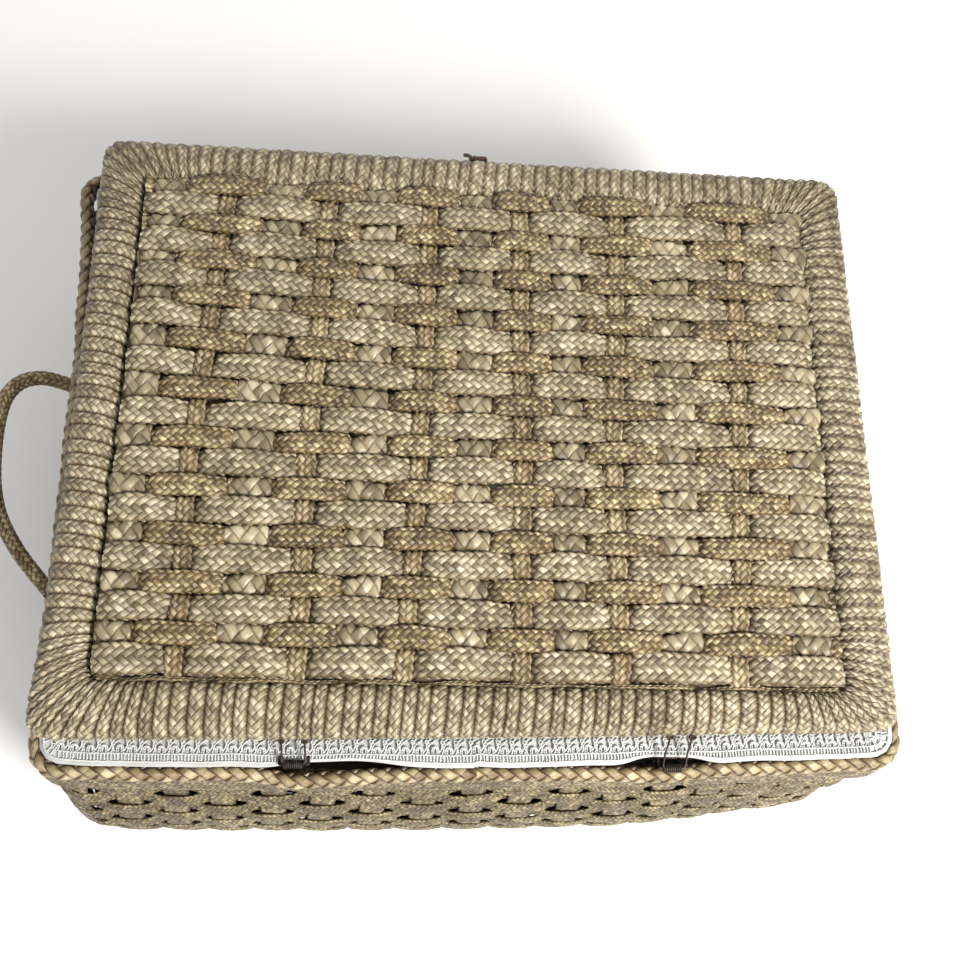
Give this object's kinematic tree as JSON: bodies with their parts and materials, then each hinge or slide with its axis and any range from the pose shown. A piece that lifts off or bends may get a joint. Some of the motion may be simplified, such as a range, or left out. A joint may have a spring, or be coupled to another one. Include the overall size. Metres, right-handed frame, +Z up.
{
  "type": "sewing basket",
  "caption": "Rectangular plaited-straw sewing basket with a woven lid on wire spring hinges, side handles, white trimmed lining and a loop-and-bead fastening.",
  "frame": {"origin": "centre of the base, on the face the basket rests on", "axes": "+X along the long side, +Y towards the side that fastens (hinges on -Y), +Z up"},
  "size_m": [0.3701, 0.2789, 0.123],
  "materials": {
    "straw_light": "satin plaited straw",
    "straw_dark": "satin plaited straw, darker",
    "straw_wrap": "satin plaited straw",
    "straw_core": "matte rolled board",
    "board": "matte grey-brown board",
    "trim_white": "matte cotton braid",
    "lining": "satin cloth over wadding",
    "wire_dark": "dark oxidised wire",
    "wood_dark": "stained and waxed",
    "cord_brown": "brown plaited cord",
    "cushion_cloth": "satin cloth, firmly stuffed"
  },
  "bodies": {
    "box": {"base_weave": "straw_light", "base_board": "board", "base_pad": "lining", "wall_weave": "straw_light", "board_front": "board", "board_back": "board", "board_left": "board", "board_right": "board", "box_lining": "lining", "box_gimp": "trim_white", "rim_wire": "wire_dark", "rim_piping": "straw_wrap", "rim_flat_braid": "straw_light", "hinge_staple_left": "wire_dark", "hinge_staple_right": "wire_dark", "handle_eyes_left": "wire_dark", "handle_eyes_right": "wire_dark", "toggle_bead": "wood_dark", "toggle_peg": "wood_dark"},
    "lid": {"lid_rim_core": "straw_core", "lid_rim_wrap": "straw_wrap", "lid_warps_light": "straw_light", "lid_warps_dark": "straw_dark", "lid_wefts_light": "straw_light", "lid_wefts_dark": "straw_dark", "lid_board": "board", "lid_lining": "lining", "lid_gimp": "trim_white", "lid_buttons": "cushion_cloth", "pincushion": "cushion_cloth", "hinge_spring_left": "wire_dark", "hinge_spring_right": "wire_dark", "closure_staple": "wire_dark"},
    "left_handle": {"left_handle_core": "wire_dark", "left_handle_wrap": "straw_wrap"},
    "right_handle": {"right_handle_core": "wire_dark", "right_handle_wrap": "straw_wrap"},
    "closure_loop": {"closure_loop": "cord_brown"}
  },
  "joints": [
    {"name": "lid_hinge", "type": "hinge", "parent": "box", "child": "lid", "pos_m": [0, -0.1162, 0.1097], "axis": [1, 0, 0], "range_deg": [0, 105]},
    {"name": "left_handle_pivot", "type": "hinge", "parent": "box", "child": "left_handle", "pos_m": [-0.1645, 0, 0.066], "axis": [0, 1, 0], "range_deg": [-80, 80]},
    {"name": "right_handle_pivot", "type": "hinge", "parent": "box", "child": "right_handle", "pos_m": [0.1645, 0, 0.066], "axis": [0, -1, 0], "range_deg": [0, 160]},
    {"name": "closure_loop_pivot", "type": "hinge", "parent": "lid", "child": "closure_loop", "pos_m": [0, 0.126, 0.1096], "axis": [1, 0, 0], "range_deg": [-5, 105]}
  ]
}
